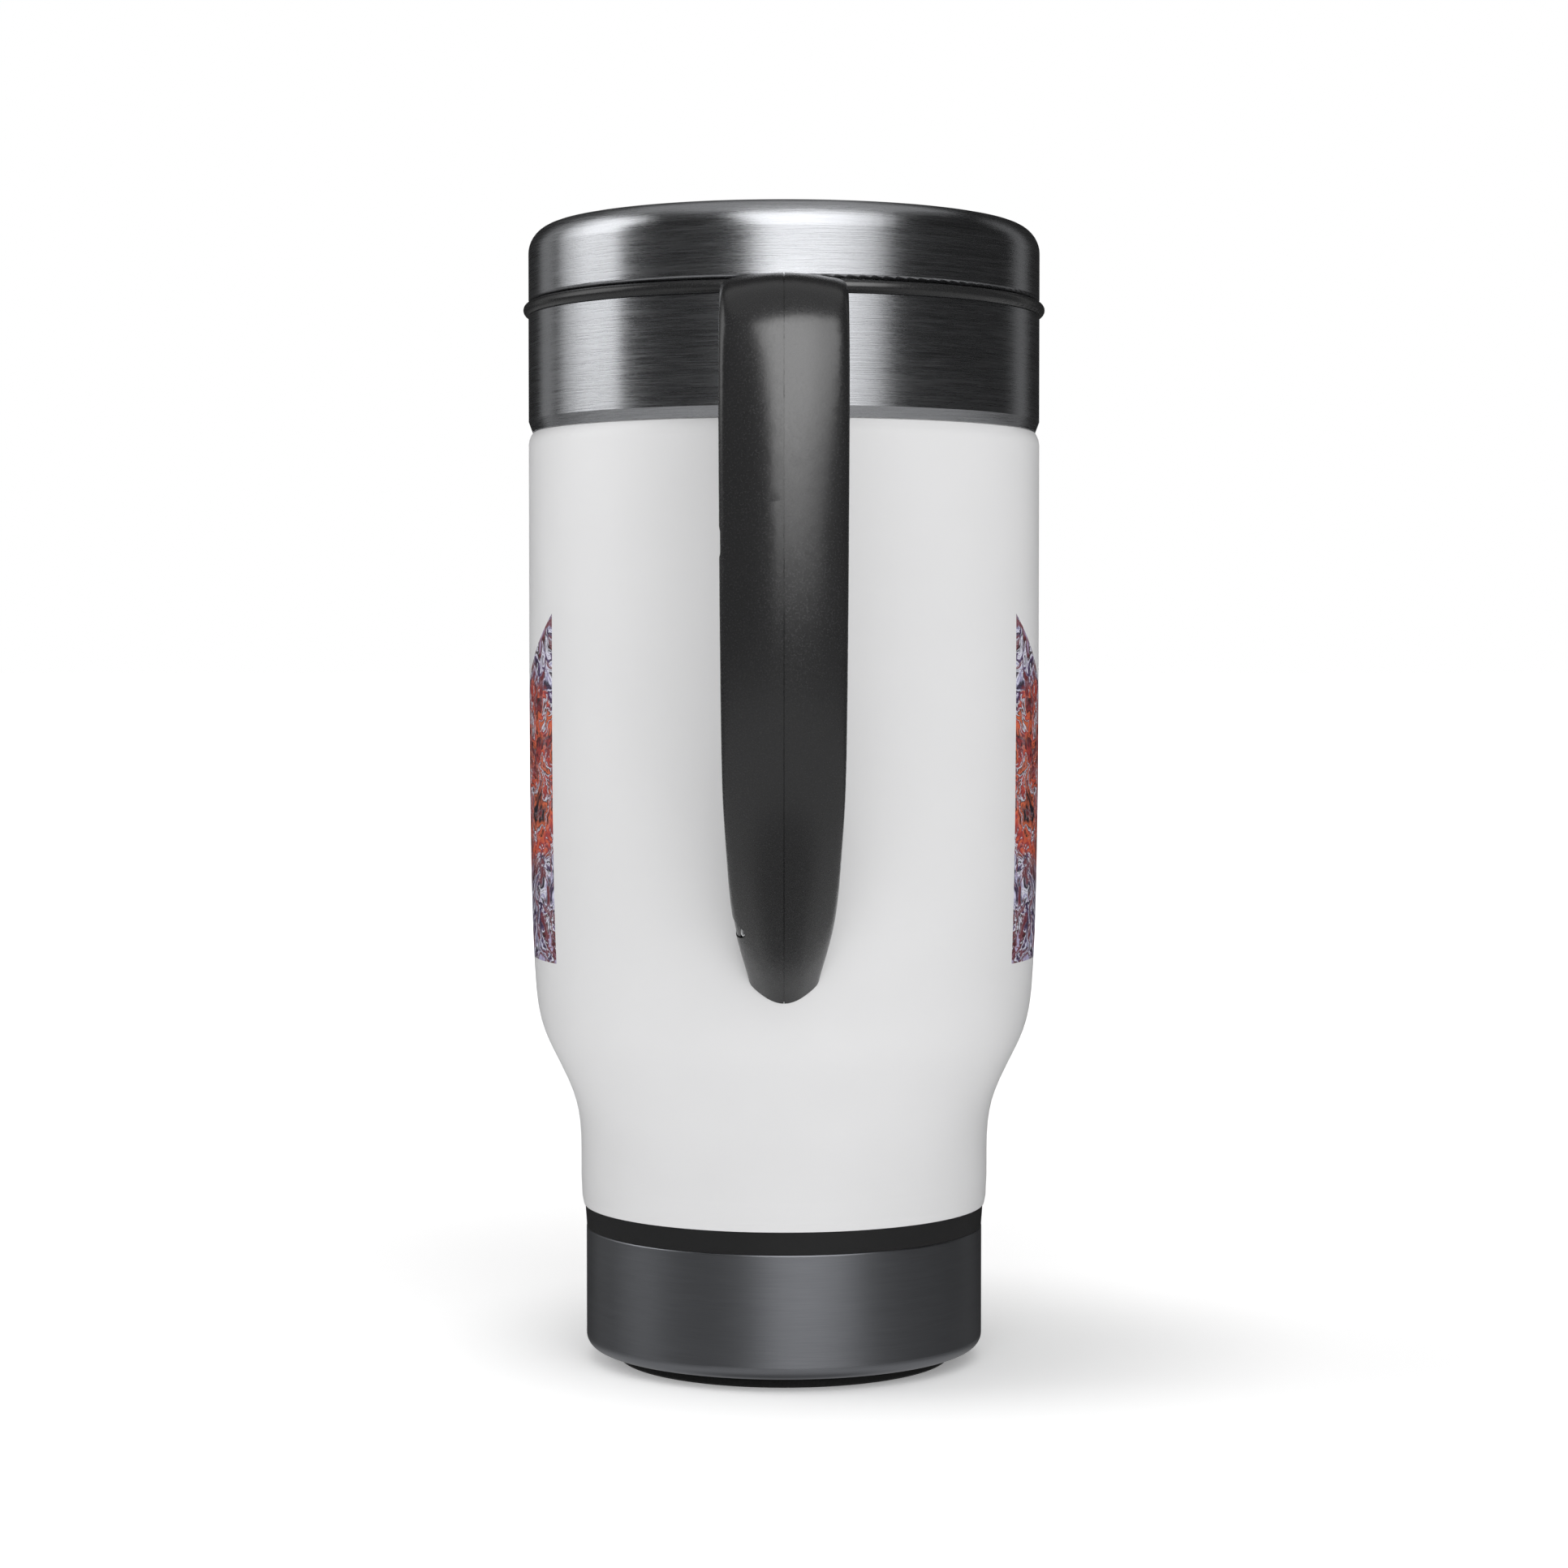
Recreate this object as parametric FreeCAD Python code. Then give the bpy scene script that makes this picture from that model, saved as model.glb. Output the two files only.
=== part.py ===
"""Insulated travel mug: a double-walled steel body that narrows to fit a cup holder, a two-part plastic
handle hung from a collar ring, and a press-in lid with a sliding drink-hole shutter.

Millimetres, +Z up. The origin is the centre of the foot pad's underside, and the handle is on the -Y side.
Each physical piece is written to its own STEP file in parts/.
"""

import FreeCAD, Part
import math
import os

Vec = FreeCAD.Vector
ORIGIN = Vec(0, 0, 0)
UP = Vec(0, 0, 1)

# ---- driving dimensions -------------------------------------------------------------------------------
body_r = 40.0            # outside of the mug's upper barrel
waist_r = 32.0           # narrow part that drops into a cup holder
base_r = 31.2            # steel base cup
sheet = 0.5              # steel sheet
wall_gap = 3.5           # vacuum space between the two steel walls

foot_rise = 1.95         # how far the foot pad stands below the base cup
base_top = 21.0          # top edge of the base cup
barrel_bottom = 24.5     # lower edge of the white barrel
barrel_top = 145.3       # upper edge of the white barrel, in the groove under the neck
neck_shoulder = 163.5    # the neck shell turns inward here, and the collar ring sits on it
lip_top = 170.5          # drinking lip
lid_crest = 177.4        # highest steel of the lid

# ---- neck and collar ----------------------------------------------------------------------------------
neck_r = 37.6            # outside of the neck that the lid's skirt covers
chamfer_z = 1.6          # rolled-in lower edge of the neck shell
chamfer_r = 0.6
spigot_r = 38.9          # white barrel's upper end, tucked inside the neck shell
spigot_top = 155.0
collar_r = 40.8
collar_z = 1.9
collar_top = neck_shoulder + collar_z

# ---- inner liner --------------------------------------------------------------------------------------
liner_r = body_r - sheet - wall_gap          # outside of the liner
mouth_r = liner_r - sheet                    # bore that the lid's plug enters
liner_floor = 12.0
liner_corner = 6.0
liner_foot_r = 26.8

# ---- base ---------------------------------------------------------------------------------------------
stem_r = 29.6            # barrel's lower end, inside the base cup
stem_bottom = 5.0
floor_plate_z = 8.0      # underside of the disc that closes the outer wall
pad_r = 26.3
pad_recess_z = 3.15      # underside of the base cup's raised middle
base_corner = 2.0

# ---- lid ----------------------------------------------------------------------------------------------
lid_bottom = 165.55
lid_corner = 4.2
well_r = 31.0            # opening in the steel cap, over the plastic top
well_z = 174.8           # surface that the shutter slides on
deck_z = 2.0             # thickness of the plastic top
skirt_in_r = neck_r + 0.8
skirt_out_r = body_r - sheet - 0.05
rim_seal_z = 1.1
plug_r = mouth_r - 0.6
plug_in_r = plug_r - 2.6
plug_bottom = 159.0
cover_z = 1.4            # thickness of the plug's lower cover
seal_bottom = 161.6
seal_z = 3.4
seal_groove_r = plug_r - 1.2
seal_r = mouth_r - 0.04

# ---- drink hole, vent and shutter ---------------------------------------------------------------------
drink_x = -24.0
drink_len = 14.0         # along Y
drink_wide = 7.0         # along X
chimney_wall = 2.0
vent_x = 24.0
vent_r = 1.2
vent_post_r = 2.8
shutter_travel = 14.0
shutter_len = 26.0
shutter_wide = 16.8
shutter_z = 1.9
shutter_x = -16.0        # middle of the closed shutter
stem_x = -8.0
stem_wide = 4.0
slot_play = 0.15
edge_step = 0.9          # height of the shutter's edge, under the rails' lips
grip_rise = 1.0

# ---- handle -------------------------------------------------------------------------------------------
# Stations along the handle's middle line: distance from the mug's axis, height, width, depth, and crown, which
# is how far the outer face falls from its middle to its edges.
handle_stations = [
    (36.0, 159.4, 17.95, 9.4, 0.9),
    (44.0, 159.4, 17.95, 9.4, 0.9),
    (52.0, 159.4, 17.95, 9.35, 0.95),
    (59.5, 159.3, 17.95, 9.3, 1.1),
    (64.6, 158.8, 17.9, 9.2, 1.4),
    (69.0, 156.9, 17.85, 9.1, 1.7),
    (71.8, 153.4, 17.85, 9.0, 2.0),
    (73.1, 148.4, 17.85, 8.85, 2.2),
    (73.6, 142.6, 17.85, 8.7, 2.4),
    (73.7, 135.5, 17.8, 8.6, 2.6),
    (73.6, 127.0, 17.7, 8.5, 2.8),
    (73.2, 117.5, 17.6, 8.5, 2.9),
    (72.2, 108.0, 17.45, 8.5, 2.9),
    (69.9, 98.8, 17.3, 8.5, 2.9),
    (66.1, 90.6, 17.0, 8.5, 2.9),
    (61.0, 83.7, 16.3, 8.5, 2.9),
    (55.2, 77.8, 15.6, 8.5, 2.9),
    (49.1, 72.5, 14.4, 8.5, 2.9),
    (42.6, 67.4, 12.1, 8.5, 2.7),
    (36.0, 62.4, 9.9, 8.5, 2.6),
]
handle_wall = 1.8
handle_corner = 1.6      # radius along the handle's four edges
inner_crown = 0.6        # how far the inner face falls from its middle to its edges
seam_gap = 0.14
seam_depth = 0.2
handle_fit = 0.1         # clearance from the handle's ends to the mug
boss_r = 3.4
screw_r = 1.25
screw_head_r = 2.4
screw_head_z = 1.6
screw_sink = 1.0
# Screws across the handle: distance from the axis, height, half width of what lies between the halves.
handle_screws_at = [(53.0, 159.4, 3.5), (72.9, 126.0, 0.0), (49.1, 72.5, 0.8)]
tongue_z = 3.6
tongue_reach = 57.5
bracket_sheet = 0.8
bracket_half_wide = 3.8
bracket_bottom = 62.2
bracket_top = 69.0
bracket_root = 65.3
bracket_length = 15.0
bracket_half_high = 2.0


# ---- half-section outlines ----------------------------------------------------------------------------
def point(r, z):
    return Vec(r, 0, z)


def arc(centre, radius, start, end):
    """A step that runs round centre from angle start to angle end, in degrees."""
    def on(angle):
        a = math.radians(angle)
        return centre[0] + radius * math.cos(a), centre[1] + radius * math.sin(a)
    return ("arc", on((start + end) / 2), on(end))


def outline(*steps):
    """Closed wire in the r-z plane. A step is a corner (r, z), an arc(), or ("curve", corners)."""
    edges = []
    here = steps[0]
    for step in steps[1:] + (steps[0],):
        if step[0] == "arc":
            edges.append(Part.Arc(point(*here), point(*step[1]), point(*step[2])).toShape())
            here = step[2]
        elif step[0] == "curve":
            edges.append(smooth_curve([here] + step[1]))
            here = step[1][-1]
        elif math.dist(here, step) > 1e-6:
            edges.append(Part.LineSegment(point(*here), point(*step)).toShape())
            here = step
    return Part.Wire(edges)


def smooth_curve(corners):
    """Curve through the corners that starts and ends vertical."""
    down = Vec(0, 0, corners[-1][1] - corners[0][1]).normalize()
    curve = Part.BSplineCurve()
    curve.interpolate(Points=[point(*c) for c in corners], InitialTangent=down, FinalTangent=down)
    return curve.toShape()


def turned(*steps):
    return Part.Face(outline(*steps)).revolve(ORIGIN, UP, 360)


def barrel_side(inset, downward=True):
    """The mug's flank between the straight barrel and the waist, moved inward by inset."""
    fall = body_r - waist_r
    corners = [
        (body_r, 104.0),
        (body_r - 0.03 * fall, 77.0),
        (body_r - 0.10 * fall, 61.0),
        (body_r - 0.265 * fall, 52.4),
        (body_r - 0.64 * fall, 45.9),
        (body_r - 0.915 * fall, 40.2),
        (waist_r, 33.0),
    ]
    corners = [(r - inset, z) for r, z in corners]
    return corners if downward else corners[::-1]


# ---- plain solids -------------------------------------------------------------------------------------
def block(x, y, z):
    """Box from three (low, high) pairs."""
    return Part.makeBox(x[1] - x[0], y[1] - y[0], z[1] - z[0], Vec(x[0], y[0], z[0]))


def rod(radius, height, base, direction=UP):
    return Part.makeCylinder(radius, height, base, direction)


def stadium(x, length, wide, low, high):
    """Upright slot with round ends: length along Y, wide along X."""
    half = (length - wide) / 2
    bar = block((x - wide / 2, x + wide / 2), (-half, half), (low, high))
    ends = [rod(wide / 2, high - low, Vec(x, side * half, low)) for side in (-1, 1)]
    return bar.fuse(ends).removeSplitter()


# ---- body ---------------------------------------------------------------------------------------------
def outer_shell():
    """White barrel: shoulder, straight wall, flank, waist, and the stem inside the base cup."""
    outside = barrel_side(0)
    inside = barrel_side(sheet, downward=False)
    return turned(
        (spigot_r, spigot_top),
        (spigot_r, barrel_top),
        (body_r - 0.65, barrel_top),
        ("arc", (body_r - 0.16, barrel_top - 0.9), (body_r, barrel_top - 2.2)),
        outside[0],
        ("curve", outside[1:]),
        (waist_r, 29.0),
        (waist_r - 0.15, barrel_bottom + 1.2),
        (waist_r - 0.4, barrel_bottom),
        (stem_r, barrel_bottom),
        (stem_r, stem_bottom),
        (stem_r - sheet, stem_bottom),
        (stem_r - sheet, barrel_bottom + sheet),
        (waist_r - 0.8, barrel_bottom + sheet),
        inside[0],
        ("curve", inside[1:]),
        (body_r - sheet, barrel_top - 2.4),
        (spigot_r - sheet, barrel_top - 1.2),
        (spigot_r - sheet, spigot_top),
    )


def neck_shell():
    """Bare steel band: rolled-in lower edge, wall, shoulder and the neck under the lid."""
    bend = 0.5
    edge = 0.2
    return turned(
        (neck_r, lip_top - sheet),
        (neck_r, neck_shoulder + bend),
        arc((neck_r + bend, neck_shoulder + bend), bend, 180, 270),
        (body_r - edge, neck_shoulder),
        arc((body_r - edge, neck_shoulder - edge), edge, 90, 0),
        (body_r, barrel_top + chamfer_z + 0.2),
        (body_r - chamfer_r, barrel_top + 0.2),
        (spigot_r, barrel_top + 0.2),
        (spigot_r, barrel_top + 0.6),
        (body_r - sheet, barrel_top + chamfer_z + 0.4),
        (body_r - sheet, neck_shoulder - sheet),
        (neck_r - sheet, neck_shoulder - sheet),
        (neck_r - sheet, lip_top - sheet),
    )


def inner_liner():
    """Steel cup that holds the drink, with its rolled lip welded to the neck."""
    lip = 1.3
    outside = barrel_side(body_r - liner_r)
    inside = barrel_side(body_r - mouth_r, downward=False)
    foot_in_r = liner_foot_r - sheet
    return turned(
        (0, liner_floor),
        (liner_foot_r - liner_corner, liner_floor),
        arc((liner_foot_r - liner_corner, liner_floor + liner_corner), liner_corner, -90, 0),
        outside[-1],
        ("curve", outside[::-1][1:]),
        (liner_r, lip_top - sheet),
        (neck_r + 0.1, lip_top - sheet),
        (neck_r + 0.1, lip_top - 0.2),
        (neck_r - 0.1, lip_top),
        (mouth_r + lip, lip_top),
        arc((mouth_r + lip, lip_top - lip), lip, 90, 180),
        inside[-1],
        ("curve", inside[::-1][1:]),
        (foot_in_r, liner_floor + liner_corner),
        arc((foot_in_r - liner_corner + sheet, liner_floor + liner_corner), liner_corner - sheet, 0, -90),
        (0, liner_floor + sheet),
    )


def floor_disc():
    """Disc that closes the outer wall at the bottom, with a turned-down rim and a sunk middle."""
    rim_r = stem_r - sheet - 0.05
    top = floor_plate_z + sheet
    hole_r = 1.0
    dish_r = 5.0
    return turned(
        (hole_r, floor_plate_z + 0.8),
        (dish_r, floor_plate_z + 0.8),
        (dish_r + 1.2, floor_plate_z),
        (rim_r - sheet, floor_plate_z),
        (rim_r - sheet, stem_bottom),
        (rim_r, stem_bottom),
        (rim_r, top - 0.8),
        arc((rim_r - 0.8, top - 0.8), 0.8, 0, 90),
        (dish_r + 1.4, top),
        (dish_r + 0.2, top + 0.8),
        (hole_r, top + 0.8),
    )


def vacuum_seal():
    """Bead of solder glass that stops the evacuation hole in the floor disc."""
    bead_top = floor_plate_z + 0.75
    return turned(
        (0, bead_top - 0.7),
        (2.2, bead_top - 0.7),
        arc((2.2, bead_top - 0.35), 0.35, -90, 90),
        (0.95, bead_top),
        (0.95, bead_top + 0.6),
        (0, bead_top + 0.6),
    )


def getter():
    """Pill that keeps the vacuum, resting on the floor disc."""
    pill = rod(4.0, 1.8, Vec(14.0, 0, floor_plate_z + sheet))
    return pill.makeFillet(0.4, [e for e in pill.Edges if abs(e.BoundBox.ZLength) < 1e-6])


def base_sleeve():
    """Black plastic sleeve between the stem and the base cup; its flange shows as the black band."""
    inner = stem_r + 0.05
    skirt_r = base_r - sheet - 0.05
    return turned(
        (inner, 6.0),
        (skirt_r - 0.4, 6.0),
        (skirt_r, 6.6),
        (skirt_r, base_top),
        (base_r - 0.05, base_top),
        (waist_r - 0.6, barrel_bottom - 0.1),
        (inner, barrel_bottom - 0.1),
    )


def base_cup():
    """Steel cup pressed over the sleeve, with a raised middle for the foot pad."""
    inner = base_r - sheet
    edge = 0.25
    recess_r = pad_r + 0.2
    return turned(
        (0, pad_recess_z),
        (recess_r - 0.4, pad_recess_z),
        (recess_r, foot_rise + 0.3),
        (recess_r + 0.5, foot_rise),
        (base_r - base_corner, foot_rise),
        arc((base_r - base_corner, foot_rise + base_corner), base_corner, -90, 0),
        (base_r, base_top - edge),
        arc((base_r - edge, base_top - edge), edge, 0, 90),
        (inner, base_top),
        (inner, foot_rise + base_corner),
        arc((base_r - base_corner, foot_rise + base_corner), base_corner - sheet, 0, -90),
        (recess_r + 0.9, foot_rise + sheet),
        (recess_r + 0.2, pad_recess_z + sheet),
        (0, pad_recess_z + sheet),
    )


def foot_pad():
    """Rubber pad that the mug stands on, with two ring grooves."""
    groove = 0.5
    steps = [(0, pad_recess_z), (0, 0)]
    for middle in (9.0, 17.0):
        steps += [(middle - 1.0, 0), (middle - 0.6, groove), (middle + 0.6, groove), (middle + 1.0, 0)]
    steps += [(pad_r - 0.3, 0), (pad_r, 0.3), (pad_r, 1.0), (pad_r - 0.4, pad_recess_z)]
    return turned(*steps)


def collar_ring():
    """Plastic ring round the neck; its tongue carries the handle's upper end."""
    bead = collar_z / 2
    ring = turned(
        (neck_r + 0.1, collar_top),
        (neck_r + 0.1, neck_shoulder + 0.6),
        (neck_r + 0.6, neck_shoulder),
        (body_r + 0.1, neck_shoulder),
        ("arc", (collar_r, neck_shoulder + bead), (body_r + 0.05, collar_top)),
    )
    half, low = handle_screws_at[0][2], handle_screws_at[0][1] - tongue_z / 2
    drop = block((-half, half), (-body_r - 3.0, -body_r + 0.8), (low, neck_shoulder + bead))
    drop = drop.cut(rod(body_r + 0.02, 40, Vec(0, 0, 140)).cut(rod(body_r + 0.02, 40, Vec(0, 0, neck_shoulder))))
    tongue = block((-half, half), (-tongue_reach, -body_r - 0.3), (low, low + tongue_z))
    hole = rod(screw_r + 0.1, 20, Vec(-10, -handle_screws_at[0][0], handle_screws_at[0][1]), Vec(1, 0, 0))
    return ring.fuse([drop, tongue]).cut(hole).removeSplitter()


# ---- handle -------------------------------------------------------------------------------------------
def handle_path():
    path = Part.BSplineCurve()
    path.interpolate([Vec(0, -station[0], station[1]) for station in handle_stations])
    return path


def section_frame(path, station):
    """Middle of a station and the direction across the handle there, pointing away from the fingers."""
    middle = Vec(0, -station[0], station[1])
    along = path.tangent(path.parameter(middle))[0]
    return middle, along.cross(Vec(1, 0, 0)).normalize()


def face_points(half_width, half_depth, crown, corner):
    """Points (x, y) along half of a domed face, from its middle round its corner to the straight side."""
    tilt = 0.0
    for _ in range(5):
        edge = half_width - corner * (1 - math.sin(tilt))
        tilt = math.atan(2 * crown * edge / half_width**2)
    points = []
    for i in range(6):
        x = edge * i / 5
        points.append((x, half_depth - crown * (x / half_width) ** 2))
    middle_y = points[-1][1] - corner * math.cos(tilt)
    for i in range(1, 5):
        a = tilt + (math.pi / 2 - tilt) * i / 4
        points.append((half_width - corner + corner * math.sin(a), middle_y + corner * math.cos(a)))
    return points


def side_points(half_width, half_depth, crown, corner, least_x=0.0):
    """Points (x, y) down one side of the handle's section, from its outer face to its inner face."""
    outer = face_points(half_width, half_depth, crown, corner)
    inner = face_points(half_width, half_depth, inner_crown, corner)
    middle = (half_width, (outer[-1][1] - inner[-1][1]) / 2)
    points = outer + [middle] + [(x, -y) for x, y in reversed(inner)]
    return [(max(least_x, x), y) for x, y in points]


def chord_steps(points):
    """How far along its chords each point lies, from 0 to 1."""
    runs = [0.0]
    for p, q in zip(points, points[1:]):
        runs.append(runs[-1] + math.dist(p, q))
    return [run / runs[-1] for run in runs]


def section_wire(frame, curves, corners):
    """Closed wire across the handle: smooth curves joined by straight lines through the corners."""
    middle, across = frame

    def place(p):
        return middle + Vec(p[0], 0, 0) + across * p[1]
    steps = chord_steps(side_points(8.9, 4.4, 2.0, handle_corner))
    edges = []
    for points in curves:
        curve = Part.BSplineCurve()
        curve.interpolate(Points=[place(p) for p in points], Parameters=steps)
        edges.append(curve.toShape())
    for run in corners:
        edges += [Part.LineSegment(place(p), place(q)).toShape() for p, q in zip(run, run[1:])]
    return Part.Wire(Part.__sortEdges__(edges))


def shell_section(path, station):
    """Half section of the hollow handle, stepped back at both ends of the seam."""
    half_width, half_depth, crown = station[2] / 2, station[3] / 2, station[4]
    gap = seam_gap / 2
    outer = side_points(half_width, half_depth, crown, handle_corner, gap)
    room = half_width - handle_wall
    inner = side_points(room, half_depth - handle_wall, crown * (room / half_width) ** 2, 0.6)
    runs = []
    for way in (-1, 1):
        face, step = way * half_depth, way * (half_depth - seam_depth)
        runs.append([(gap, face), (gap, step), (0, step), (0, way * (half_depth - handle_wall))])
    return section_wire(section_frame(path, station), [outer, inner], runs)


def solid_section(path, station, shrink):
    """Solid half section, smaller than the handle by shrink all round."""
    half_width, half_depth = station[2] / 2 - shrink, station[3] / 2 - shrink
    rim = side_points(half_width, half_depth, station[4], handle_corner - shrink / 2)
    return section_wire(section_frame(path, station), [rim], [[(0, -half_depth), (0, half_depth)]])


def handle_loft(section, *sizes):
    path = handle_path()
    return Part.makeLoft([section(path, station, *sizes) for station in handle_stations], True, False)


def mug_space():
    """What the handle's ends are cut back to: the flank, the straight barrel and neck, and the collar's bead."""
    side = barrel_side(-handle_fit, downward=False)
    return [
        turned((0, side[0][1]), side[0], ("curve", side[1:]), (0, side[-1][1])),
        rod(body_r + handle_fit, lid_crest - side[-1][1], Vec(0, 0, side[-1][1])),
        rod(collar_r + handle_fit, lid_crest - neck_shoulder, Vec(0, 0, neck_shoulder - handle_fit)),
    ]


def tongue_space():
    """Room inside the handle for the collar's tongue and its drop."""
    half, low = handle_screws_at[0][2] + 0.05, handle_screws_at[0][1] - tongue_z / 2 - 0.05
    tongue = block((-half, half), (-tongue_reach - 0.1, 0.5 - body_r), (low, low + tongue_z + 0.1))
    drop = block((-half, half), (-body_r - 3.05, 0.5 - body_r), (low, neck_shoulder + collar_z / 2 + 0.05))
    return tongue.fuse(drop)


def handle_blank():
    """The +X half before its screw holes: hollow, stepped along the seam, with bosses for the screws."""
    half = handle_loft(shell_section)
    core = handle_loft(solid_section, 0.7)
    for reach, height, between in handle_screws_at:
        face = between + 0.08 if between else 0.0
        boss = rod(boss_r, 12, Vec(face, -reach, height), Vec(1, 0, 0))
        half = half.fuse(boss.common(core))
    return half.cut(mug_space() + [tongue_space(), bracket_plate(0.05)])


def handle_half(blank, side):
    """One moulded half: side is 1 for +X and -1 for -X."""
    half = blank if side > 0 else blank.mirror(ORIGIN, Vec(1, 0, 0))
    return half.cut([screw_hole(side, reach, height) for reach, height, _ in handle_screws_at])


def handle_half_width(reach, height):
    """Half the handle's width where a screw crosses it."""
    nearest = min(handle_stations, key=lambda s: math.dist(s[:2], (reach, height)))
    return nearest[2] / 2


def screw_seat_x(reach, height):
    """Where the underside of a screw's head sits."""
    return -(handle_half_width(reach, height) - screw_sink - screw_head_z)


def screw_hole(side, reach, height):
    """Clearance hole and sunk seat in the left half, blind pilot hole in the right half."""
    start = Vec(0, -reach, height)
    if side > 0:
        return rod(screw_r + 0.05, handle_half_width(reach, height) - 1.6, start, Vec(1, 0, 0))
    seat = Vec(screw_seat_x(reach, height), -reach, height)
    hole = rod(screw_r + 0.15, 12, start, Vec(-1, 0, 0))
    return hole.fuse(rod(screw_head_r + 0.1, 10, seat, Vec(-1, 0, 0)))


def handle_screws():
    """Three cross-head screws that hold the halves together."""
    screws = []
    for reach, height, _ in handle_screws_at:
        seat = Vec(screw_seat_x(reach, height), -reach, height)
        crown = seat.x - screw_head_z
        length = handle_half_width(reach, height) - 2.2 - seat.x
        head = rod(screw_head_r, screw_head_z, seat, Vec(-1, 0, 0))
        head = head.makeFillet(0.5, [e for e in head.Edges if e.BoundBox.XMax < crown + 0.01])
        slot_x = (crown - 0.1, crown + 0.9)
        cross = block(slot_x, (-reach - 1.3, -reach + 1.3), (height - 0.3, height + 0.3))
        cross = cross.fuse(block(slot_x, (-reach - 0.3, -reach + 0.3), (height - 1.3, height + 1.3)))
        screws.append(head.fuse(rod(screw_r, length, seat, Vec(1, 0, 0))).cut(cross).removeSplitter())
    return Part.makeCompound(screws)


def handle_plugs():
    """Three caps that close the screws' holes, a little below the handle's side."""
    core = handle_loft(solid_section, 0.12).mirror(ORIGIN, Vec(1, 0, 0))
    plugs = []
    for reach, height, _ in handle_screws_at:
        crown = screw_seat_x(reach, height) - screw_head_z - 0.02
        plugs.append(rod(screw_head_r + 0.05, 5, Vec(crown, -reach, height), Vec(-1, 0, 0)).common(core))
    return Part.makeCompound([solid for plug in plugs for solid in plug.Solids])


def bracket_plate(grow):
    """Curved plate that lies on the barrel behind the handle's lower end."""
    inner = barrel_side(-0.02)
    outer = barrel_side(-0.02 - bracket_sheet - grow, downward=False)
    skin = turned(inner[0], ("curve", inner[1:]), outer[0], ("curve", outer[1:]))
    half = bracket_half_wide + grow
    return skin.common(block((-half, half), (-60, 0), (bracket_bottom - grow, bracket_top + grow)))


def lower_bracket():
    """Steel clip welded to the barrel; its tab lies between the handle's halves."""
    reach, height, half = handle_screws_at[2]
    rise = math.degrees(math.atan2(height - bracket_root, reach - body_r))
    tab = block((-half, half), (-bracket_length, 0), (-bracket_half_high, bracket_half_high))
    tab = tab.makeFillet(1.2, [e for e in tab.Edges if e.BoundBox.XLength > 0.5 and e.BoundBox.YMax < -1])
    tab.rotate(ORIGIN, Vec(1, 0, 0), -rise)
    tab.translate(Vec(0, 0.3 - body_r, bracket_root))
    hole = rod(screw_r + 0.1, 10, Vec(-5, -reach, height), Vec(1, 0, 0))
    return bracket_plate(0).fuse(tab.cut(mug_space())).cut(hole).removeSplitter()


# ---- lid ----------------------------------------------------------------------------------------------
def lid_cap():
    """Brushed steel cover: side wall, rounded shoulder, flat rim and a rolled edge round the well."""
    curl = 1.4
    hem = 0.6
    corner = (body_r - lid_corner, lid_crest - lid_corner)
    return turned(
        (body_r - hem, lid_bottom),
        ("arc", (body_r - 0.18, lid_bottom + 0.18), (body_r, lid_bottom + hem)),
        (body_r, lid_crest - lid_corner),
        arc(corner, lid_corner, 0, 90),
        (well_r + curl, lid_crest),
        arc((well_r + curl, lid_crest - curl), curl, 90, 180),
        (well_r, well_z + 0.1),
        (well_r + sheet, well_z + 0.1),
        (well_r + sheet, lid_crest - curl),
        arc((well_r + curl, lid_crest - curl), curl - sheet, 180, 90),
        (corner[0], lid_crest - sheet),
        arc(corner, lid_corner - sheet, 90, 0),
        (body_r - sheet, lid_bottom + hem),
        (body_r - hem, lid_bottom + 0.25),
    )


def lid_body():
    """Black plastic lid: deck, skirt over the neck, plug with its seal groove, drink chimney and vent."""
    under = well_z - deck_z
    seat_z = lip_top + rim_seal_z
    body = turned(
        (0, well_z),
        (0, under),
        (plug_in_r, under),
        (plug_in_r, plug_bottom),
        (plug_r - 0.5, plug_bottom),
        (plug_r, plug_bottom + 0.5),
        (plug_r, seal_bottom - 0.05),
        (seal_groove_r, seal_bottom - 0.05),
        (seal_groove_r, seal_bottom + seal_z + 0.05),
        (plug_r, seal_bottom + seal_z + 0.05),
        (plug_r, seat_z),
        (skirt_in_r, seat_z),
        (skirt_in_r, lid_bottom + 0.4),
        (skirt_out_r - 0.3, lid_bottom + 0.4),
        (skirt_out_r, lid_bottom + 0.8),
        (skirt_out_r, lid_crest - lid_corner - 0.4),
        (skirt_out_r - 2.0, well_z),
    )
    cover_bottom = plug_bottom - cover_z
    chimney = stadium(drink_x, drink_len + 2 * chimney_wall, drink_wide + 2 * chimney_wall, cover_bottom, under)
    post = rod(vent_post_r, under - cover_bottom, Vec(vent_x, 0, cover_bottom))
    body = body.fuse([chimney, post] + [shutter_rail(side) for side in (-1, 1)])
    body = body.cut(stadium(drink_x, drink_len, drink_wide, cover_bottom - 1, well_z + 1))
    body = body.cut(rod(vent_r, 30, Vec(vent_x, 0, cover_bottom - 1)))
    slot_half = stem_wide / 2 + slot_play
    slot = block((stem_x - slot_half, stem_x + shutter_travel + slot_half), (-slot_half, slot_half),
                 (under - 1, well_z + 1))
    return body.cut(slot).removeSplitter()


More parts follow.
